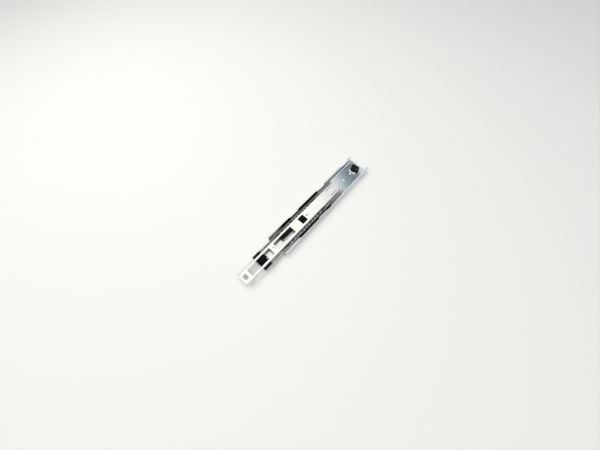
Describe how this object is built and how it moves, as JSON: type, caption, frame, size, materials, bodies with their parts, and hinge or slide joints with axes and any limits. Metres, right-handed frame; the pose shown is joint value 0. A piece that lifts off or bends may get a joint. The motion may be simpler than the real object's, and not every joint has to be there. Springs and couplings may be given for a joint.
{
  "type": "cabinet drawer slide",
  "caption": "Side-mount full-extension drawer slide: three nested zinc-plated channels on ball rows, with a release lever and stops, partly open.",
  "frame": {"origin": "centre of the cabinet member's flat back face", "axes": "+X along the slide towards the rear of the cabinet, -X the way the drawer opens; +Y across the slide; +Z from the cabinet wall towards the drawer"},
  "size_m": [0.3303, 0.045, 0.0127],
  "materials": {
    "zinc_steel": "bright zinc plate",
    "retainer_steel": "zinc-plated strip",
    "ball_steel": "polished",
    "rivet_steel": "turned",
    "black_plastic": "moulded satin",
    "black_rubber": "moulded"
  },
  "bodies": {
    "cabinet": {"outer_member": "zinc_steel", "rear_bumper": "black_rubber"},
    "intermediate": {"intermediate_member": "zinc_steel", "intermediate_front_stop": "black_plastic"},
    "drawer": {"inner_member": "zinc_steel", "lever_rivet": "rivet_steel"},
    "lever": {"release_lever": "black_plastic"},
    "outer_cage": {"outer_ball_retainer": "black_plastic", "outer_ball_left_01": "ball_steel", "outer_ball_left_02": "ball_steel", "outer_ball_left_03": "ball_steel", "outer_ball_left_04": "ball_steel", "outer_ball_left_05": "ball_steel", "outer_ball_left_06": "ball_steel", "outer_ball_left_07": "ball_steel", "outer_ball_left_08": "ball_steel", "outer_ball_left_09": "ball_steel", "outer_ball_left_10": "ball_steel", "outer_ball_left_11": "ball_steel", "outer_ball_right_01": "ball_steel", "outer_ball_right_02": "ball_steel", "outer_ball_right_03": "ball_steel", "outer_ball_right_04": "ball_steel", "outer_ball_right_05": "ball_steel", "outer_ball_right_06": "ball_steel", "outer_ball_right_07": "ball_steel", "outer_ball_right_08": "ball_steel", "outer_ball_right_09": "ball_steel", "outer_ball_right_10": "ball_steel", "outer_ball_right_11": "ball_steel"},
    "inner_cage": {"inner_ball_retainer": "retainer_steel", "inner_ball_left_01": "ball_steel", "inner_ball_left_02": "ball_steel", "inner_ball_left_03": "ball_steel", "inner_ball_left_04": "ball_steel", "inner_ball_left_05": "ball_steel", "inner_ball_left_06": "ball_steel", "inner_ball_left_07": "ball_steel", "inner_ball_left_08": "ball_steel", "inner_ball_left_09": "ball_steel", "inner_ball_left_10": "ball_steel", "inner_ball_left_11": "ball_steel", "inner_ball_right_01": "ball_steel", "inner_ball_right_02": "ball_steel", "inner_ball_right_03": "ball_steel", "inner_ball_right_04": "ball_steel", "inner_ball_right_05": "ball_steel", "inner_ball_right_06": "ball_steel", "inner_ball_right_07": "ball_steel", "inner_ball_right_08": "ball_steel", "inner_ball_right_09": "ball_steel", "inner_ball_right_10": "ball_steel", "inner_ball_right_11": "ball_steel"}
  },
  "joints": [
    {"name": "intermediate_slide", "type": "slide", "parent": "cabinet", "child": "intermediate", "axis": [-1, 0, 0], "range_m": [-0.0433, 0.0817]},
    {"name": "drawer_slide", "type": "slide", "parent": "intermediate", "child": "drawer", "axis": [-1, 0, 0], "range_m": [-0.037, 0.088]},
    {"name": "outer_cage_slide", "type": "slide", "parent": "cabinet", "child": "outer_cage", "axis": [-1, 0, 0], "range_m": [-0.02165, 0.04085]},
    {"name": "inner_cage_slide", "type": "slide", "parent": "intermediate", "child": "inner_cage", "axis": [-1, 0, 0], "range_m": [-0.0185, 0.044]},
    {"name": "lever_pivot", "type": "hinge", "parent": "drawer", "child": "lever", "pos_m": [-0.045, 0, 0.0097], "axis": [0, 0, 1], "range_deg": [0, 9], "stiffness_Nm_per_rad": 0.05, "springref_deg": -11.46}
  ],
  "couplings": [
    {"joint": "outer_cage_slide", "follows": "intermediate_slide", "ratio": 0.5},
    {"joint": "inner_cage_slide", "follows": "drawer_slide", "ratio": 0.5}
  ]
}
